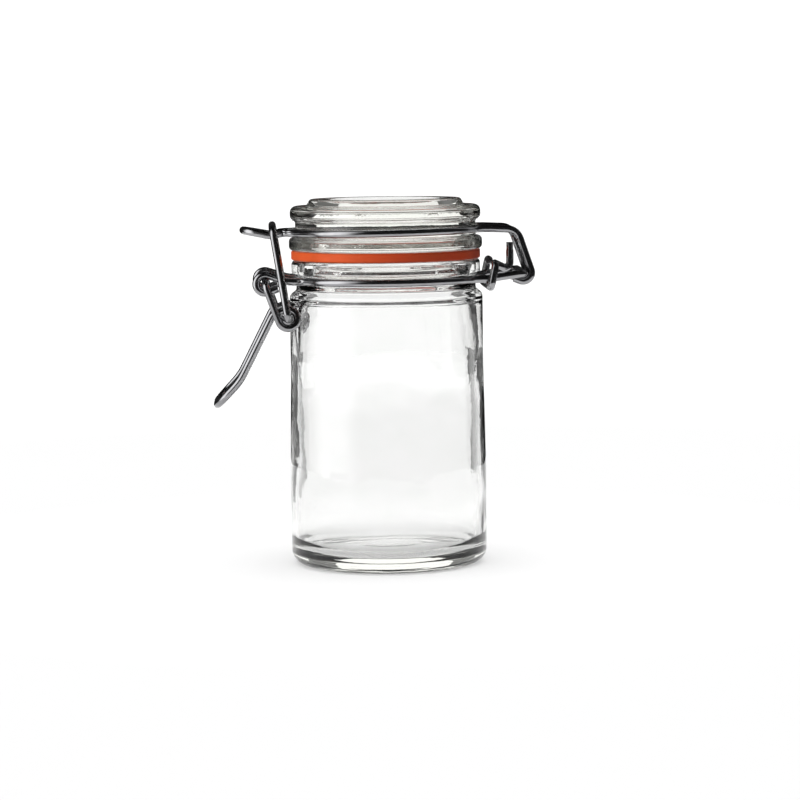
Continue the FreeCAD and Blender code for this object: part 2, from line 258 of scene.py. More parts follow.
def finished(name, build):
    """A new material whose surface, and volume if it has one, come from build(nodes)."""
    material = bpy.data.materials.new(name)
    material.use_nodes = True
    nodes = Nodes(material.node_tree)
    made = build(nodes)
    nodes.add("ShaderNodeOutputMaterial", sockets=made)
    return material


def field_tree(name, inputs, build):
    """A geometry tree with named inputs after its geometry. build(nodes, inputs) gives what it makes."""
    tree = bpy.data.node_groups.new(name, "GeometryNodeTree")
    tree.interface.new_socket("Geometry", in_out="INPUT", socket_type="NodeSocketGeometry")
    for label, kind in inputs:
        tree.interface.new_socket(label, in_out="INPUT", socket_type=kind)
    tree.interface.new_socket("Geometry", in_out="OUTPUT", socket_type="NodeSocketGeometry")
    nodes = Nodes(tree)
    entry = nodes.add("NodeGroupInput").socket.node
    links = {socket.name: Socket(nodes, socket) for socket in entry.outputs if socket.name}
    made = build(nodes, links)
    whole = nodes.add("GeometryNodeRealizeInstances", sockets={0: made})
    coated = nodes.add("GeometryNodeSetMaterial", sockets={"Geometry": whole, "Material": links["Material"]})
    nodes.add("NodeGroupOutput", sockets={0: coated})
    return tree


def grown(name, tree, points, values, marks=None):
    """The plain mesh that a geometry tree makes from a line through points, in millimetres."""
    line = bpy.data.meshes.new(name + "_line")
    edges = [(n, n + 1) for n in range(len(points) - 1)]
    line.from_pydata([Vector(point) * MM for point in points], edges, [])
    for mark, numbers in (marks or {}).items():
        line.attributes.new(mark, "FLOAT", "POINT").data.foreach_set("value", numbers)
    holder = bpy.data.objects.new(name + "_holder", line)
    bpy.context.scene.collection.objects.link(holder)
    modifier = holder.modifiers.new("grow", "NODES")
    modifier.node_group = tree
    for item in tree.interface.items_tree:
        if item.item_type == "SOCKET" and item.in_out == "INPUT" and item.name in values:
            modifier[item.identifier] = values[item.name]
    graph = bpy.context.evaluated_depsgraph_get()
    mesh = bpy.data.meshes.new_from_object(holder.evaluated_get(graph), depsgraph=graph)
    mesh.name = name
    bpy.data.objects.remove(holder)
    bpy.data.meshes.remove(line)
    if not mesh.polygons:
        raise RuntimeError(f"{name}: its tree made no faces")
    return mesh


def placed(name, mesh, body, node):
    """A finished piece that rides on a body and stands for a CAD node."""
    piece = bpy.data.objects.new(name, mesh)
    bpy.context.scene.collection.objects.link(piece)
    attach(piece, body)
    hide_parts(node)
    return piece


# ------------------------------------------------------------------ lines


# the longest turn between two points of an arc, and in millimetres the least gap between points
ARC_STEP = math.radians(7.0)
NO_RUN = 1e-4


def rounded(corners):
    """Points along straight runs between corners, each (point, radius), joined by tangent arcs.

    A radius of None takes the largest arc that half of the shorter run beside the corner allows.
    """
    points = [Vector(point) for point, radius in corners]
    line = [points[0]]
    for before, here, after, (_, radius) in zip(points, points[1:], points[2:], corners[1:-1]):
        back = before - here
        ahead = after - here
        half_turn = (math.pi - back.angle(ahead)) / 2
        if radius is None:
            radius = min(back.length, ahead.length) / 2 / math.tan(half_turn)
        reach = radius * math.tan(half_turn)
        back.normalize()
        ahead.normalize()
        middle = here + (back + ahead).normalized() * (radius / math.cos(half_turn))
        spoke = here + back * reach - middle
        steps = max(2, math.ceil(2 * half_turn / ARC_STEP))
        for number in range(steps + 1):
            turn = 2 * half_turn * number / steps
            point = middle + spoke * math.cos(turn) - back * radius * math.sin(turn)
            if (point - line[-1]).length > NO_RUN:
                line.append(point)
    line.append(points[-1])
    return line


def split_runs(line, longest):
    """The same line with no run longer than a limit."""
    fine = [line[0]]
    for start, end in zip(line, line[1:]):
        count = max(1, math.ceil((end - start).length / longest))
        fine += [start.lerp(end, (n + 1) / count) for n in range(count)]
    return fine


def mirrored(corners):
    """The corners on the -Y side, then the same ones on the +Y side in the opposite order."""
    return corners + [((x, -y, z), radius) for (x, y, z), radius in reversed(corners)]


# how many equal arcs a wire's turn, and its ring, are drawn with
TURN_ARCS = 6
RING_ARCS = 3


def arc_corners(middle, radius, start, sweep, side):
    """Corners whose full arcs make one turn in an upright plane. side gives y at each share of the sweep."""
    reach = radius / math.cos(math.radians(sweep / TURN_ARCS / 2))
    corners = []
    for number in range(TURN_ARCS):
        share = (number + 0.5) / TURN_ARCS
        angle = math.radians(start + sweep * share)
        place = (middle[0] + reach * math.cos(angle), side(share), middle[1] + reach * math.sin(angle))
        corners.append((place, None))
    return corners


def circle_end(middle, radius, angle, way, tail, side):
    """The end of a straight tail that leaves a circle at an angle, turning its way: 1 or -1."""
    angle = math.radians(angle)
    return (
        middle[0] + radius * math.cos(angle) - way * tail * math.sin(angle),
        side,
        middle[1] + radius * math.sin(angle) + way * tail * math.cos(angle),
    )


def touch_angles(point, middle, radius):
    """Where lines from a point touch a circle in the XZ plane: mean and half angle, in degrees."""
    across = point[0] - middle[0]
    up = point[1] - middle[1]
    return math.degrees(math.atan2(up, across)), math.degrees(math.acos(radius / math.hypot(across, up)))


def ring_run(ring, left_arm, right_arm, bend, run, height, tilt):
    """The near half of a wire ring between two arms that leave it along X at y = -arm, tipped about Y.

    Each arm turns onto the ring with a reverse bend and then runs on in the ring's plane.
    """
    touch = []
    ends = []
    for arm, way in ((left_arm, -1), (right_arm, 1)):
        across = way * math.sqrt((ring + bend) ** 2 - (arm + bend) ** 2)
        spot = Vector((across, -arm - bend)).normalized() * ring
        touch.append(math.atan2(spot.y, spot.x))
        corner_x = (ring * ring + arm * spot.y) / spot.x
        ends.append([((across + way * run, -arm, 0.0), bend), ((corner_x, -arm, 0.0), bend)])
    step = (touch[1] - touch[0]) / RING_ARCS
    reach = ring / math.cos(step / 2)
    middle = []
    for number in range(RING_ARCS):
        angle = touch[0] + step * (number + 0.5)
        middle.append(((reach * math.cos(angle), reach * math.sin(angle), 0.0), ring))
    turn = Matrix.Rotation(-math.radians(tilt), 3, "Y")
    flat = ends[0] + middle + ends[1][::-1]
    return [(tuple(turn @ Vector(point) + Vector((0, 0, height))), radius) for point, radius in flat]


# ------------------------------------------------------------------ glass

# radius, height and rounding of each corner, in millimetres. The inner ones come after the mouth.
JAR_OUTLINE = [
    (0.0, 1.3, 0.0),
    (9.0, 1.25, 12.0),
    (17.5, 0.0, 1.2),
    (23.55, 0.0, 3.4),
    (23.55, 24.0, 60.0),
    (23.15, 48.0, 60.0),
    (23.15, 64.75, 1.7),
    (21.5, 66.05, 1.1),
    (21.5, 69.45, 0.35),
    (22.6, 69.45, 1.0),
    (22.6, 73.1, 1.0),
    (17.8, 73.1, 0.7),
    (17.8, 67.4, 3.0),
    (20.2, 63.6, 7.0),
    (21.55, 51.0, 110.0),
    (21.55, 3.2, 4.0),
    (8.0, 4.0, 20.0),
    (0.0, 4.1, 0.0),
]
# the inner wall wanders below this height and outside this radius, in millimetres
WAVE_TOP = 60.0
WAVE_CORE = 1.0
# the circle in the noise's own space that the wander is read round, and how fine the wander is
WAVE_CIRCLE = 0.014
WAVE_DETAIL = 1.0
LID_OUTLINE = [
    (0.0, 73.25, 0.0),
    (12.5, 73.25, 1.6),
    (12.5, 70.85, 1.0),
    (17.0, 70.85, 1.0),
    (17.0, 75.45, 0.35),
    (23.15, 75.45, 1.1),
    (23.15, 78.65, 1.1),
    (21.6, 78.65, 0.4),
    (21.6, 82.65, 0.7),
    (22.8, 82.65, 1.15),
    (22.8, 86.05, 1.5),
    (18.9, 86.05, 0.5),
    (18.0, 87.65, 0.8),
    (14.1, 87.65, 0.8),
    (13.0, 86.35, 0.9),
    (0.0, 86.35, 0.0),
]
LONGEST_RUN = 2.5
CLOSED_GAP = 0.002 * MM


def turned_tree():
    """Turns a line in the XZ plane once round Z, and lets the marked part of it wander in and out."""
    inputs = [
        ("Segments", "NodeSocketInt"),
        ("Wave", "NodeSocketFloat"),
        ("Wave scale", "NodeSocketFloat"),
        ("Seed", "NodeSocketInt"),
        ("Material", "NodeSocketMaterial"),
    ]

    def build(nodes, given):
        line = given["Geometry"]
        size = nodes.add("GeometryNodeAttributeDomainSize", {"component": "MESH"}, {0: line})
        across = given["Segments"] + 1.0
        grid = nodes.add("GeometryNodeMeshGrid", sockets={"Vertices X": size, "Vertices Y": across})
        index = nodes.add("GeometryNodeInputIndex")
        column = nodes.call("FLOOR", (index + 0.25) / across)
        angle = (index - column * across) / given["Segments"] * math.tau
        place = nodes.add(
            "GeometryNodeSampleIndex",
            {"data_type": "FLOAT_VECTOR", "domain": "POINT"},
            {"Geometry": line, "Value": nodes.add("GeometryNodeInputPosition"), "Index": column},
        )
        mark = nodes.add("GeometryNodeInputNamedAttribute", {"data_type": "FLOAT"}, {"Name": "wave"})
        mark = nodes.add(
            "GeometryNodeSampleIndex",
            {"data_type": "FLOAT", "domain": "POINT"},
            {"Geometry": line, "Value": mark, "Index": column},
        )
        radius, _, height = nodes.parts(place)
        cosine = nodes.call("COSINE", angle)
        sine = nodes.call("SINE", angle)
        wander = nodes.add(
            "ShaderNodeTexNoise",
            {"noise_dimensions": "4D"},
            {
                "Vector": nodes.vector(cosine * WAVE_CIRCLE, sine * WAVE_CIRCLE, height),
                "W": given["Seed"],
                "Scale": given["Wave scale"],
                "Detail": WAVE_DETAIL,
            },
        )
        radius = radius + (wander - 0.5) * given["Wave"] * 2.0 * mark
        spot = nodes.vector(radius * cosine, radius * sine, height)
        shaped = nodes.add("GeometryNodeSetPosition", sockets={"Geometry": grid, "Position": spot})
        return nodes.add("GeometryNodeMergeByDistance", sockets={"Geometry": shaped, "Distance": CLOSED_GAP})

    return field_tree("turned", inputs, build)


def shaped(name, outline, values, wavy=False):
    """A turned mesh with its faces pointing outwards. A wavy one has a wandering inner wall."""
    corners = [((radius, 0.0, height), rounding) for radius, height, rounding in outline]
    line = split_runs(rounded(corners), LONGEST_RUN)
    wave = [0.0] * len(line)
    if wavy:
        for index in range(line_half(line) + 1, len(line)):
            wave[index] = float(line[index].x > WAVE_CORE and line[index].z < WAVE_TOP)
    mesh = grown(name, turned_tree(), line, values, {"wave": wave})
    if sum(polygon.center.dot(polygon.normal) * polygon.area for polygon in mesh.polygons) < 0:
        mesh.flip_normals()
    mesh.shade_smooth()
    return mesh


def line_half(line):
    """Where a turned outline passes its highest point, after which it is inside."""
    return max(range(len(line)), key=lambda index: (line[index].z, -line[index].x))


# Noise scales are in waves per metre. A SPAN is the noise levels between which a mark fades in, and a
# BUMP is its strength and its depth in metres.
GLASS_RIPPLE = 160.0
GLASS_RIPPLE_SPAN = (0.35, 0.75)
GLASS_PITS = 900.0
GLASS_PIT_SPAN = (0.62, 0.9)
GLASS_PIT_SHARE = 0.1
GLASS_BUMP = (0.18, 0.0004)
GLASS_CLEAR = (0.97, 0.97, 0.97)
GLASS_CLOUDED = (0.955, 0.96, 0.955)
GLASS_PIT_ROUGHNESS = 0.02
GLASS_DENSITY = 10.0
GLASS_IOR = 1.5


def glass_finish(colours):
    """Clear pressed glass, faintly rippled and pitted, that tints the light where it is thick."""

    def build(nodes):
        where = nodes.add("ShaderNodeTexCoord", output=3)
        ripple = nodes.noise(where, GLASS_RIPPLE, 1.0)
        pits = nodes.noise(where, GLASS_PITS, 2.0)
        tint = nodes.blend(nodes.step(ripple, *GLASS_RIPPLE_SPAN), GLASS_CLEAR, GLASS_CLOUDED)
        relief = ripple * (1.0 - GLASS_PIT_SHARE) + pits * GLASS_PIT_SHARE
        surface = nodes.add(
            "ShaderNodeBsdfPrincipled",
            sockets={
                "Base Color": tint,
                "Roughness": nodes.step(pits, *GLASS_PIT_SPAN) * GLASS_PIT_ROUGHNESS,
                "IOR": GLASS_IOR,
                "Transmission Weight": 1.0,
                "Normal": nodes.bump(relief, *GLASS_BUMP),
            },
        )
        body = nodes.add(
            "ShaderNodeVolumeAbsorption",
            sockets={"Color": (*colours.glass, 1.0), "Density": GLASS_DENSITY},
        )
        return {"Surface": surface, "Volume": body}

    return finished("pressed_glass", build)


class JAR_OT_glass(bpy.types.Operator):
    """Makes the pressed glass jar and lid."""

    bl_idname = "clip_top_jar.glass"
    bl_label = "Glass jar and lid"

    def execute(self, context):
        sizes = context.scene.jar_sizes
        material = glass_finish(context.scene.jar_finishes)
        values = {
            "Segments": sizes.segments,
            "Wave": sizes.wave,
            "Wave scale": sizes.wave_scale,
            "Seed": sizes.wave_seed,
            "Material": material,
        }
        jar = shaped("glass_jar", JAR_OUTLINE, values, wavy=True)
        placed("glass_jar", jar, "jar", "jar_glass")
        lid = shaped("glass_lid", LID_OUTLINE, values)
        placed("glass_lid", lid, "lid", "lid_glass")
        return {"FINISHED"}


# ------------------------------------------------------------------ seal


SEAL_BORE = 17.7
SEAL_ROUND = 0.45
RUBBER_CLOUD = 120.0
RUBBER_GRAIN = 2600.0
RUBBER_CLOUD_SPAN = (0.35, 0.7)
RUBBER_CLOUD_SHARE = 0.55
RUBBER_CLOUD_SHADE = 0.72
RUBBER_ROUGHNESS = 0.42
RUBBER_ROUGHNESS_SPREAD = 0.16
RUBBER_SHINE = 0.2
RUBBER_BUMP = (0.12, 0.0001)
# painted shade on the hinge side: the share of each channel that is left there, and where along X the
# painted shade starts and ends
RUBBER_PAINTED_SHADE = (0.76, 0.52, 0.6)
PAINTED_SHADE_SPAN = (-0.019, 0.009)


def rubber_finish(colours):
    """Matt rubber, faintly clouded, with painted shade that darkens it towards the hinge side."""

    def build(nodes):
        where = nodes.add("ShaderNodeTexCoord", output=3)
        cloud = nodes.noise(where, RUBBER_CLOUD, 3.0)
        grain = nodes.noise(where, RUBBER_GRAIN, 2.0)
        base = tuple(colours.rubber)
        deep = tuple(channel * RUBBER_CLOUD_SHADE for channel in base)
        # painted shade: the seal's colour is drawn darker towards +X, the hinge side
        painted_shade = tuple(channel * share for channel, share in zip(base, RUBBER_PAINTED_SHADE))
        x, _, _ = nodes.parts(where)
        with_painted_shade = nodes.blend(nodes.step(x, *PAINTED_SHADE_SPAN), base, painted_shade)
        colour = nodes.blend(nodes.step(cloud, *RUBBER_CLOUD_SPAN) * RUBBER_CLOUD_SHARE, with_painted_shade, deep)
        surface = nodes.add(
            "ShaderNodeBsdfPrincipled",
            sockets={
                "Base Color": colour,
                "Roughness": RUBBER_ROUGHNESS + cloud * RUBBER_ROUGHNESS_SPREAD,
                "Specular IOR Level": RUBBER_SHINE,
                "Normal": nodes.bump(grain, *RUBBER_BUMP),
            },
        )
        return {"Surface": surface}

    return finished("seal_rubber", build)


class JAR_OT_seal(bpy.types.Operator):
    """Makes the flat rubber seal between jar and lid."""

    bl_idname = "clip_top_jar.seal"
    bl_label = "Rubber seal"

    def execute(self, context):
        edge = SEAL_HIGH.x
        low = SEAL_LOW.z
        high = SEAL_HIGH.z
        middle = (low + high) / 2
        outline = [
            (SEAL_BORE, middle, 0.0),
            (SEAL_BORE, low, SEAL_ROUND),
            (edge, low, SEAL_ROUND),
            (edge, high, SEAL_ROUND),
            (SEAL_BORE, high, SEAL_ROUND),
            (SEAL_BORE, middle, 0.0),
        ]
        values = {
            "Segments": context.scene.jar_sizes.segments,
            "Material": rubber_finish(context.scene.jar_finishes),
        }
        mesh = shaped("seal_ring", outline, values)
        placed("seal_ring", mesh, "lid", "gasket")
        return {"FINISHED"}


# ------------------------------------------------------------------ wires

# millimetres and degrees. An ARM, SIDE or END is how far from the middle plane the wire runs, a RING
# or TURN is a radius, and a BEND is the radius of a corner.
WIRE = 1.8
NECK_HEIGHT = 68.5
NECK_RING = 22.45
NECK_BEND = 4.0
NECK_RUN = 1.2
NECK_ARM_BEND = 6.0
CLASP_ARM = 10.4
HINGE_ARM = 10.3
HINGE_BEND = 1.4
CURL_TURN = 2.1
CURL_END = 290.0
CURL_TAIL = 2.5
LID_WIRE_HEIGHT = 80.1
LID_WIRE_RING = 22.55
LID_WIRE_BEND = 3.4
LID_WIRE_RUN = 0.6
LID_WIRE_TILT = 0.7
LID_ARM = 8.0
KNEE_BACK = 1.4
HOOK_TURN = 2.0
HOOK_SWEEP = 130.0
HOOK_TAIL = 1.5
TONGUE_ARM = 5.2
TONGUE_TIP = (-34.0, -3.0, 0.4)
TONGUE_DIP = (-27.05, -4.6, -0.95)
TONGUE_BEND = 5.0
LINK_SIDE = 14.7
LINK_EYE_BEND = 1.4
LINK_BAR_BEND = 2.2
PIN_END = 9.1
LEVER_SIDE = 12.55
LEVER_PIN_BEND = 1.6
LEVER_EYE_TURN = 2.2
LEVER_LEAVE = 202.0
LEVER_SHOULDER_BEND = 2.4
LEVER_KNEE_X = -35.3
LEVER_KNEE_DROP = 23.05
LEVER_LEAN = 27.1
LEVER_KNEE_BEND = 14.0
LEVER_TIP_OUT = 5.5
LEVER_TIP_DROP = 5.8
LEVER_TIP_BEND = 4.5
LEVER_CLOSING = 0.9
TIE_CLEAR = 0.25
TIE_BEND = 1.35
TIE_LOW_X = 24.3
TIE_LOW_DROP = 0.1
TIE_HIGH_X = 25.5
TIE_HIGH_RISE = 1.85
TIE_STUB_BACK = 2.95
TIE_STUB_SIDE = 6.0
SHARP_ANGLE = 50.0


def wire_tree():
    """Sweeps a round wire along a line, and marks how far along and which way round each face is."""
    inputs = [
        ("Radius", "NodeSocketFloat"),
        ("Sides", "NodeSocketInt"),
        ("Material", "NodeSocketMaterial"),
    ]

    def build(nodes, given):
        curve = nodes.add("GeometryNodeMeshToCurve", sockets={0: given["Geometry"]})
        along = nodes.add("GeometryNodeSplineParameter", output=1)
        curve = nodes.add(
            "GeometryNodeStoreNamedAttribute",
            {"data_type": "FLOAT", "domain": "POINT"},
            {"Geometry": curve, "Name": "along", "Value": along},
        )
        thickness = nodes.add(
            "GeometryNodeInputNamedAttribute",
            {"data_type": "FLOAT"},
            {"Name": "thickness"},
        )
        circle = nodes.add(
            "GeometryNodeCurvePrimitiveCircle",
            sockets={"Resolution": given["Sides"], "Radius": given["Radius"]},
        )
        way = nodes.add(
            "ShaderNodeVectorMath",
            {"operation": "NORMALIZE"},
            {0: nodes.add("GeometryNodeInputPosition")},
        )
        circle = nodes.add(
            "GeometryNodeStoreNamedAttribute",
            {"data_type": "FLOAT_VECTOR", "domain": "POINT"},
            {"Geometry": circle, "Name": "around", "Value": way},
        )
        return nodes.add(
            "GeometryNodeCurveToMesh",
            sockets={"Curve": curve, "Profile Curve": circle, "Scale": thickness, "Fill Caps": True},
        )

    return field_tree("drawn_wire", inputs, build)


# drawing lines round and along the wire, and stains in waves per metre
LINES_ROUND = 4.0
LINES_ALONG = 60.0
LINES_SCALE = 3.0
STEEL_STAIN = 210.0
STEEL_STAIN_SPAN = (0.42, 0.72)
STEEL_STAIN_SHARE = 0.5
STEEL_STAIN_SHADE = 0.62
STEEL_ROUGHNESS = 0.09
STEEL_ROUGHNESS_SPREAD = 0.08
STEEL_BUMP = (0.10, 0.00006)


def steel_finish(colours):
    """Drawn steel with fine lines along the wire and faint stains."""

    def build(nodes):
        where = nodes.add("ShaderNodeTexCoord", output=3)
        along = nodes.add("ShaderNodeAttribute", {"attribute_name": "along"}, output=2)
        around = nodes.add("ShaderNodeAttribute", {"attribute_name": "around"}, output=1)
        side_x, side_y, _ = nodes.parts(around)
        drawn = nodes.vector(side_x * LINES_ROUND, side_y * LINES_ROUND, along * LINES_ALONG)
        lines = nodes.noise(drawn, LINES_SCALE, 3.0, 0.65)
        stain = nodes.noise(where, STEEL_STAIN, 3.0, 0.6)
        base = tuple(colours.steel)
        dull = tuple(channel * STEEL_STAIN_SHADE for channel in base)
        colour = nodes.blend(nodes.step(stain, *STEEL_STAIN_SPAN) * STEEL_STAIN_SHARE, base, dull)
        rough = STEEL_ROUGHNESS + stain * STEEL_ROUGHNESS_SPREAD + lines * STEEL_ROUGHNESS_SPREAD
        surface = nodes.add(
            "ShaderNodeBsdfPrincipled",
            sockets={
                "Base Color": colour,
                "Metallic": 1.0,
                "Roughness": rough,
                "Normal": nodes.bump(lines, *STEEL_BUMP),
            },
        )
        return {"Surface": surface}

    return finished("drawn_steel", build)


def neck_corners():
    """Curls at the lever's pin, the ring round the neck, and the hinge arms joined at the back."""
    ring = ring_run(NECK_RING, CLASP_ARM, HINGE_ARM, NECK_BEND, NECK_RUN, NECK_HEIGHT, 0.0)
    left = ring[0][0]
    curl = (PIN.x, PIN.z)
    toward, half = touch_angles((left[0], left[2]), curl, CURL_TURN)
    start = toward + half
    rim = arc_corners(curl, CURL_TURN, start, CURL_END - start, lambda share: -CLASP_ARM)
    tail = circle_end(curl, CURL_TURN, CURL_END, 1, CURL_TAIL, -CLASP_ARM)
    ring[0] = (ring[0][0], NECK_ARM_BEND)
    ring[-1] = (ring[-1][0], NECK_ARM_BEND)
    return mirrored([(tail, 0), *rim[::-1], *ring, ((HINGE.x, -HINGE_ARM, HINGE.z), HINGE_BEND)])


def lid_wire_corners():
    """Hooks on the hinge bar, the ring round the lid, and the tongue that the link holds down."""
    hinge = (HINGE.x, HINGE.z)
    knee = (HINGE.x - KNEE_BACK, -LID_ARM, LID_WIRE_HEIGHT)
    toward, half = touch_angles((knee[0], knee[2]), hinge, HOOK_TURN)
    start = toward - half
    hook = arc_corners(hinge, HOOK_TURN, start, -HOOK_SWEEP, lambda share: -LID_ARM)
    tail = circle_end(hinge, HOOK_TURN, start - HOOK_SWEEP, -1, HOOK_TAIL, -LID_ARM)
    ring = ring_run(
        LID_WIRE_RING, TONGUE_ARM, LID_ARM, LID_WIRE_BEND, LID_WIRE_RUN, LID_WIRE_HEIGHT, LID_WIRE_TILT
    )
    tongue = [(x, y, LID_WIRE_HEIGHT + rise) for x, y, rise in (TONGUE_TIP, TONGUE_DIP)]
    near = [
        (tongue[0], None),
        (tongue[1], TONGUE_BEND),
        *ring,
        (knee, LID_WIRE_BEND),
        *hook,
        (tail, 0),
    ]
    return mirrored(near[::-1])


def link_corners():
    """Ends turned in through the lever's eyes, and the bar over the tongue."""
    bar_z = LINK_HIGH.z - WIRE / 2
    bar_x = LINK_LOW.x + WIRE / 2
    return mirrored([
        ((EYE.x, -PIN_END, EYE.z), 0),
        ((EYE.x, -LINK_SIDE, EYE.z), LINK_EYE_BEND),
        ((bar_x, -LINK_SIDE, bar_z), LINK_BAR_BEND),
    ])


def lever_corners():
    """Ends turned in through the neck wire's curls, an eye for the link, and the handle."""
    pin = (PIN.x, PIN.z)
    eye = (EYE.x, EYE.z)
    turn = LEVER_EYE_TURN
    toward, half = touch_angles(pin, eye, turn)
    start = toward + half
    sweep = (LEVER_LEAVE - 90 - start) % 360
    inward = LEVER_SIDE - CLASP_ARM
    turns = arc_corners(eye, turn, start, sweep, lambda share: -LEVER_SIDE + inward * share)
    knee = Vector((LEVER_KNEE_X, 0.0, PIN.z - LEVER_KNEE_DROP))
    lean = math.radians(LEVER_LEAN)
    leave = math.radians(LEVER_LEAVE)
    up = Vector((math.sin(lean), 0.0, math.cos(lean)))
    out = Vector((math.cos(leave), 0.0, math.sin(leave)))
    leaving = Vector((eye[0] + out.z * turn, 0.0, eye[1] - out.x * turn))
    gap = knee - leaving
    corner = leaving + out * ((gap.x * up.z - gap.z * up.x) / (out.x * up.z - out.z * up.x))
    tip = (knee.x - LEVER_TIP_OUT, -CLASP_ARM + 2 * LEVER_CLOSING, knee.z - LEVER_TIP_DROP)
    return mirrored([
        ((pin[0], -PIN_END, pin[1]), 0),
        ((pin[0], -LEVER_SIDE, pin[1]), LEVER_PIN_BEND),
        *turns,
        ((corner.x, -CLASP_ARM, corner.z), LEVER_SHOULDER_BEND),
        ((knee.x, -CLASP_ARM + LEVER_CLOSING, knee.z), LEVER_KNEE_BEND),
        (tip, LEVER_TIP_BEND),
    ])


def tie_corners():
    """A turned-up stub, then a loop round both hinge arms."""
    clear = WIRE + TIE_CLEAR
    low = (TIE_LOW_X, NECK_HEIGHT - WIRE - TIE_LOW_DROP)
    high = (TIE_HIGH_X, NECK_HEIGHT + WIRE + TIE_HIGH_RISE)
    stub = (HINGE.x - TIE_STUB_BACK, -TIE_STUB_SIDE)
    loop = [
        ((high[0], -HINGE_ARM + clear, high[1]), TIE_BEND),
        ((high[0], -HINGE_ARM - clear, high[1]), TIE_BEND),
        ((low[0], -HINGE_ARM - clear, low[1]), TIE_BEND),
    ]
    far = [((x, -y, z), radius) for (x, y, z), radius in reversed(loop[1:])]
    return [
        ((*stub, TIE_TOP), 0),
        ((*stub, NECK_HEIGHT + WIRE), TIE_BEND),
        *loop,
        *far,
        ((high[0], HINGE_ARM - clear, high[1]), 0),
    ]


WIRES = [
    ("wire_neck", neck_corners, "jar", "neck_wire"),
    ("wire_lid", lid_wire_corners, "lid", "lid_wire"),
    ("wire_link", link_corners, "link", "link"),
    ("wire_lever", lever_corners, "lever", "lever"),
    ("wire_tie", tie_corners, "jar", "tie"),
]
# the tie's stub narrows this far below its end, over a run of twice the step, to a share of the radius
TIP_DROP = 1.83
TIP_STEP = 0.03
TIP_THICKNESS = 0.89


class JAR_OT_wires(bpy.types.Operator):
    """Makes the bent wires of the hinge and the clasp."""

    bl_idname = "clip_top_jar.wires"
    bl_label = "Bent wires"

    def execute(self, context):
        sizes = context.scene.jar_sizes
        tree = wire_tree()
        values = {
            "Radius": sizes.wire_radius,
            "Sides": sizes.wire_sides,
            "Material": steel_finish(context.scene.jar_finishes),
        }
        for name, corners, body, node in WIRES:
            line = rounded(corners())
            thickness = [1.0] * len(line)
            if node == "tie":
                step = line[0] - Vector((0, 0, TIP_DROP))
                line[1:1] = [step + Vector((0, 0, TIP_STEP)), step - Vector((0, 0, TIP_STEP))]
                thickness = [TIP_THICKNESS] * 2 + thickness
            mesh = grown(name, tree, line, values, {"thickness": thickness})
            mesh.shade_smooth()
            mesh.set_sharp_from_angle(angle=math.radians(SHARP_ANGLE))
            placed(name, mesh, body, node)
        return {"FINISHED"}


# ------------------------------------------------------------------ stage

# metres and degrees
CAMERA_DISTANCE = 0.700
CAMERA_TARGET = (0.003, 0.0, 0.03905)
CAMERA_RISE = 5.6
CAMERA_ROUND = -2.6
CAMERA_ROLL = -0.75
CAMERA_LENS = 130.7
CAMERA_NEAR = 0.01
CAMERA_FAR = 20.0


def add_camera():
    """A long lens a little above the jar, almost square to its side."""
    rise = math.radians(CAMERA_RISE)
    around = math.radians(CAMERA_ROUND)
    back = Vector((math.sin(around) * math.cos(rise), -math.cos(around) * math.cos(rise), math.sin(rise)))
    data = bpy.data.cameras.new("camera")
    data.lens = CAMERA_LENS
    camera = bpy.data.objects.new("camera", data)
    bpy.context.scene.collection.objects.link(camera)
    camera.rotation_mode = "QUATERNION"
    roll = Matrix.Rotation(math.radians(CAMERA_ROLL), 4, "Z").to_quaternion()
    camera.rotation_quaternion = (-back).to_track_quat("-Z", "Y") @ roll
    camera.location = Vector(CAMERA_TARGET) + back * CAMERA_DISTANCE
    data.clip_start = CAMERA_NEAR
    data.clip_end = CAMERA_FAR
    bpy.context.scene.camera = camera


# brightness of the white surround, of the dome overhead and of the dark between the strips
OPEN_LEVEL = 1.16
DOME_LEVEL = 1.25
DARK_LEVEL = 0.02
# how much of the surround is missing on -Y, where glass looks back past the camera
CAMERA_SIDE_LOSS = 0.75
# where up Z the dome comes in and the strips go out, and where along Y the loss comes in
DOME_SPAN = (0.42, 0.75)
STRIP_TOP_SPAN = (0.9, 0.7)
CAMERA_SIDE_SPAN = (0.0, -0.35)
# heading from +Y towards +X and half width, in degrees, and strength
STRIPS = [(-112.0, 22.0, 2.4), (62.0, 7.0, 0.5)]
# a strip is full inside the first share of its half width and gone outside the second
STRIP_FULL = 0.4
STRIP_GONE = 1.7


def strip_light(nodes, x, y):
    """How bright the dark studio's soft strips are in the direction x, y."""
    heading = nodes.add("ShaderNodeMath", {"operation": "ARCTAN2"}, {0: x, 1: y})
    level = DARK_LEVEL
    for centre, half, strength in STRIPS:
        off = nodes.call("ABSOLUTE", heading - math.radians(centre))
        glow = nodes.step(off, math.radians(half * STRIP_GONE), math.radians(half * STRIP_FULL))
        level = glow * strength + level
    return level


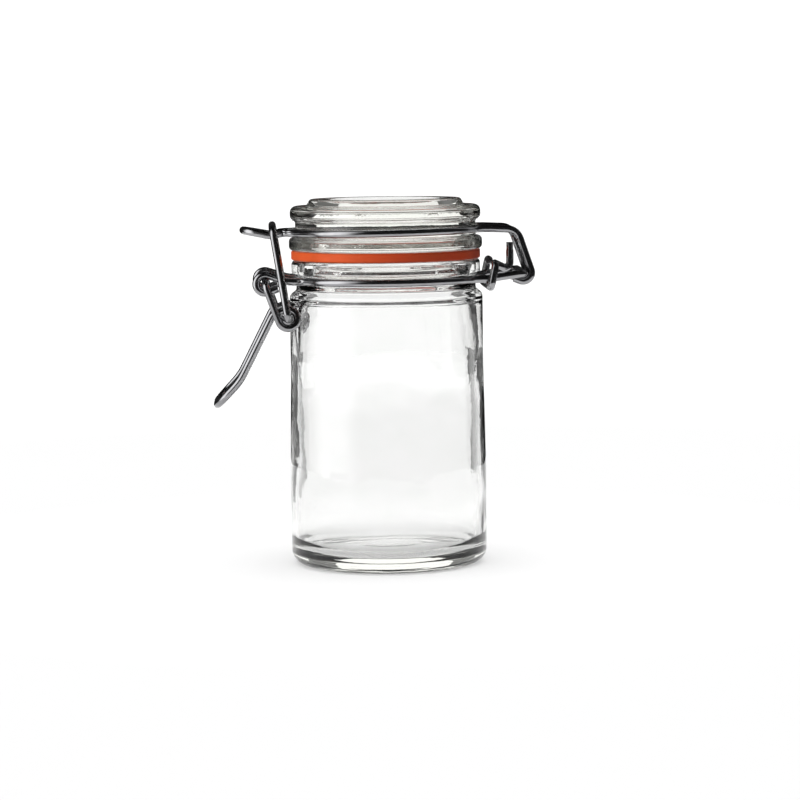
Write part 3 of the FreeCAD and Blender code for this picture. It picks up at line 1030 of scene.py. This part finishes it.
def add_world():
    """A white surround for what is seen direct or through glass, a dome for plain surfaces, and soft
    strips in a dark studio for what shines."""
    world = bpy.data.worlds.new("studio")
    bpy.context.scene.world = world
    world.use_nodes = True
    nodes = Nodes(world.node_tree)
    x, y, z = nodes.parts(nodes.add("ShaderNodeTexCoord", output=0))
    dome = nodes.step(z, *DOME_SPAN) * DOME_LEVEL + DARK_LEVEL
    shine = strip_light(nodes, x, y) * nodes.step(z, *STRIP_TOP_SPAN)
    path = nodes.add("ShaderNodeLightPath").socket.node
    through = Socket(nodes, path.outputs["Is Transmission Ray"])
    seen = Socket(nodes, path.outputs["Is Camera Ray"]) + through
    glossy = Socket(nodes, path.outputs["Is Glossy Ray"]) * (1.0 - seen)
    behind = through * nodes.step(y, *CAMERA_SIDE_SPAN) * CAMERA_SIDE_LOSS
    level = (seen - behind) * OPEN_LEVEL + glossy * shine + (1.0 - seen - glossy) * dome
    light = nodes.add("ShaderNodeBackground", sockets={"Color": (1.0, 1.0, 1.0, 1.0), "Strength": level})
    nodes.add("ShaderNodeOutputWorld", sockets={"Surface": light})


KEY_HEADING = -116.0
KEY_RISE = 20.0
KEY_STRENGTH = 3.8
KEY_SPREAD = 30.0


def add_key():
    """A soft key light from the left front. It casts no shadow, as on a lit white sweep."""
    data = bpy.data.lights.new("key", "SUN")
    data.energy = KEY_STRENGTH
    data.angle = math.radians(KEY_SPREAD)
    data.use_shadow = False
    light = bpy.data.objects.new("key", data)
    bpy.context.scene.collection.objects.link(light)
    heading = math.radians(KEY_HEADING)
    rise = math.radians(KEY_RISE)
    source = Vector((math.sin(heading) * math.cos(rise), math.cos(heading) * math.cos(rise), math.sin(rise)))
    light.rotation_mode = "QUATERNION"
    light.rotation_quaternion = (-source).to_track_quat("-Z", "Y")
    light.visible_glossy = False
    light.visible_transmission = False


# name, distance and lowest and highest point, in metres, and the headings that it spans, in degrees.
# Each card stands on both sides of the jar.
BODY_CARDS = ("body_card", 0.16, (0.0, 0.056), 21.0, 40.0)
RIM_CARDS = ("rim_card", 0.30, (0.045, 0.60), 36.0, 95.0)
SCREEN = ("shine_screen", 0.22, (0.0, 0.20), -180.0, 180.0)
BODY_CARD_LEVEL = 0.16
RIM_CARD_LEVEL = 0.01
BAND_STEP = 4.0


def add_band(name, distance, height, start, end, finish):
    """An upright band round the jar that the camera and plain surfaces don't see."""
    steps = math.ceil(abs(end - start) / BAND_STEP)
    points = []
    for number in range(steps + 1):
        angle = math.radians(start + (end - start) * number / steps)
        spot = (distance * math.sin(angle), distance * math.cos(angle))
        points += [(*spot, height[0]), (*spot, height[1])]
    mesh = bpy.data.meshes.new(name)
    faces = [(n, n + 1, n + 3, n + 2) for n in range(0, 2 * steps, 2)]
    mesh.from_pydata(points, [], faces)
    mesh.materials.append(finish)
    band = bpy.data.objects.new(name, mesh)
    bpy.context.scene.collection.objects.link(band)
    band.visible_camera = False
    band.visible_diffuse = False
    band.visible_shadow = False
    return band


def add_cards():
    """Dark cards, seen only through glass, that draw its edges, and a dark screen with the bright
    strips, seen only in reflections, that hides the white floor and cards from what shines."""

    def striped(nodes):
        x, y, _ = nodes.parts(nodes.add("ShaderNodeTexCoord", output=3))
        level = strip_light(nodes, x, y)
        glow = nodes.add("ShaderNodeEmission", sockets={"Color": nodes.vector(level, level, level)})
        return {"Surface": glow}

    for card_pair, level in ((BODY_CARDS, BODY_CARD_LEVEL), (RIM_CARDS, RIM_CARD_LEVEL)):
        name, distance, height, start, end = card_pair

        def dark(nodes):
            glow = nodes.add("ShaderNodeEmission", sockets={"Color": (level, level, level, 1.0)})
            return {"Surface": glow}

        card_finish = finished(name, dark)
        for side in (-1, 1):
            card = add_band(name, distance, height, side * start, side * end, card_finish)
            card.visible_glossy = False
    screen = add_band(*SCREEN, finished("shine_screen", striped))
    screen.visible_transmission = False


# distance from the jar's axis in metres, and how pale the floor is there. The paler disc near the jar is
# painted light that hides the jar's contact shadow, and the darker ring between is painted shade seen
# through the glass
FLOOR_PAINTED_LIGHT_RINGS = [(0.0, 0.90), (0.08, 0.90), (0.14, 0.80), (0.30, 0.80), (0.46, 0.95), (1.0, 0.95)]
FLOOR_DROP = 0.02 * MM
FLOOR_ROUGHNESS = 0.9


def floor_finish():
    """A matt floor, paler near the jar and far off than between: painted light near the jar and a ring of
    painted shade between.
    """

    def build(nodes):
        where = nodes.add("ShaderNodeTexCoord", output=3)
        x, y, _ = nodes.parts(where)
        away = nodes.call("SQRT", x * x + y * y)
        # painted light near the jar and painted shade in the ring between, set in the floor's colour
        stops = [(place, (level,) * 3) for place, level in FLOOR_PAINTED_LIGHT_RINGS]
        painted_light_and_shade = nodes.add("ShaderNodeValToRGB", {"stops": stops}, {0: away})
        surface = nodes.add(
            "ShaderNodeBsdfPrincipled",
            sockets={"Base Color": painted_light_and_shade, "Roughness": FLOOR_ROUGHNESS, "Specular IOR Level": 0.0},
        )
        return {"Surface": surface}

    return finished("pale_floor", build)


def add_floor(half):
    """A square floor just under the jar. half is half its side."""
    mesh = bpy.data.meshes.new("floor")
    corners = [(x * half, y * half, -FLOOR_DROP) for x, y in ((-1, -1), (1, -1), (1, 1), (-1, 1))]
    mesh.from_pydata(corners, [], [(0, 1, 2, 3)])
    mesh.materials.append(floor_finish())
    floor = bpy.data.objects.new("floor", mesh)
    bpy.context.scene.collection.objects.link(floor)


class JAR_OT_stage(bpy.types.Operator):
    """Makes the floor, the light and the camera."""

    bl_idname = "clip_top_jar.stage"
    bl_label = "Stage"

    def execute(self, context):
        add_floor(context.scene.jar_sizes.floor_size / 2)
        add_world()
        add_cards()
        add_key()
        add_camera()
        context.scene.view_settings.view_transform = "Standard"
        return {"FINISHED"}


# ------------------------------------------------------------------ panel


class JAR_PT_panel(bpy.types.Panel):
    """Lists the jar's settings and its steps."""

    bl_idname = "JAR_PT_panel"
    bl_label = "Clip-top jar"
    bl_space_type = "VIEW_3D"
    bl_region_type = "UI"
    bl_category = "Jar"

    def draw(self, context):
        for group in (context.scene.jar_sizes, context.scene.jar_finishes):
            for name in type(group).__annotations__:
                self.layout.prop(group, name)
        for operator in OPERATORS:
            self.layout.operator(operator.bl_idname)


OPERATORS = (JAR_OT_glass, JAR_OT_seal, JAR_OT_wires, JAR_OT_stage)
CLASSES = (JarSizes, JarFinishes, *OPERATORS, JAR_PT_panel)


def register():
    for made in CLASSES:
        bpy.utils.register_class(made)
    bpy.types.Scene.jar_sizes = PointerProperty(type=JarSizes)
    bpy.types.Scene.jar_finishes = PointerProperty(type=JarFinishes)


def unregister():
    del bpy.types.Scene.jar_finishes
    del bpy.types.Scene.jar_sizes
    for made in reversed(CLASSES):
        bpy.utils.unregister_class(made)


def main():
    register()
    bpy.ops.clip_top_jar.glass()
    bpy.ops.clip_top_jar.seal()
    bpy.ops.clip_top_jar.wires()
    bpy.ops.clip_top_jar.stage()


if __name__ == "__main__":
    main()
